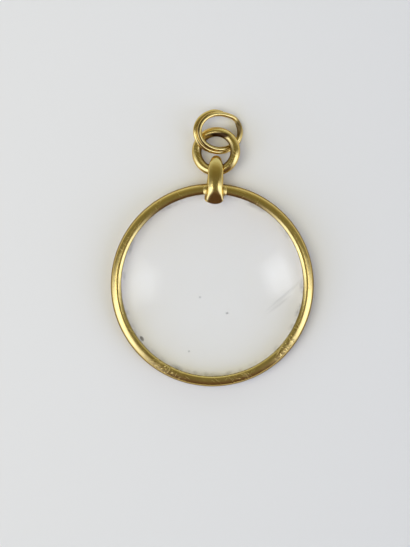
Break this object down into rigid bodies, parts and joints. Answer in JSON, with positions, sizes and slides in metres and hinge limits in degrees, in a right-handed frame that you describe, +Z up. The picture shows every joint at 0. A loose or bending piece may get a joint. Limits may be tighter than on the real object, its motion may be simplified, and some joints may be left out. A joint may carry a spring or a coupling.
{
  "type": "magnifier pendant",
  "caption": "Round magnifying lens in a polished gold rim, with a half-round bail bent over the top, a thick jump ring and a split ring for a chain.",
  "frame": {"origin": "on the surface that the pendant lies on, under the middle of its length and width", "axes": "+Z up, away from the surface, +Y along the pendant from the lens towards the split ring, +X to the right seen from above"},
  "size_m": [0.04, 0.0546, 0.0057],
  "materials": {
    "gold": "polished",
    "glass": "polished"
  },
  "bodies": {
    "root": {"rim_and_bail": "gold", "lens": "glass", "jump_ring": "gold", "split_ring": "gold"}
  },
  "joints": []
}
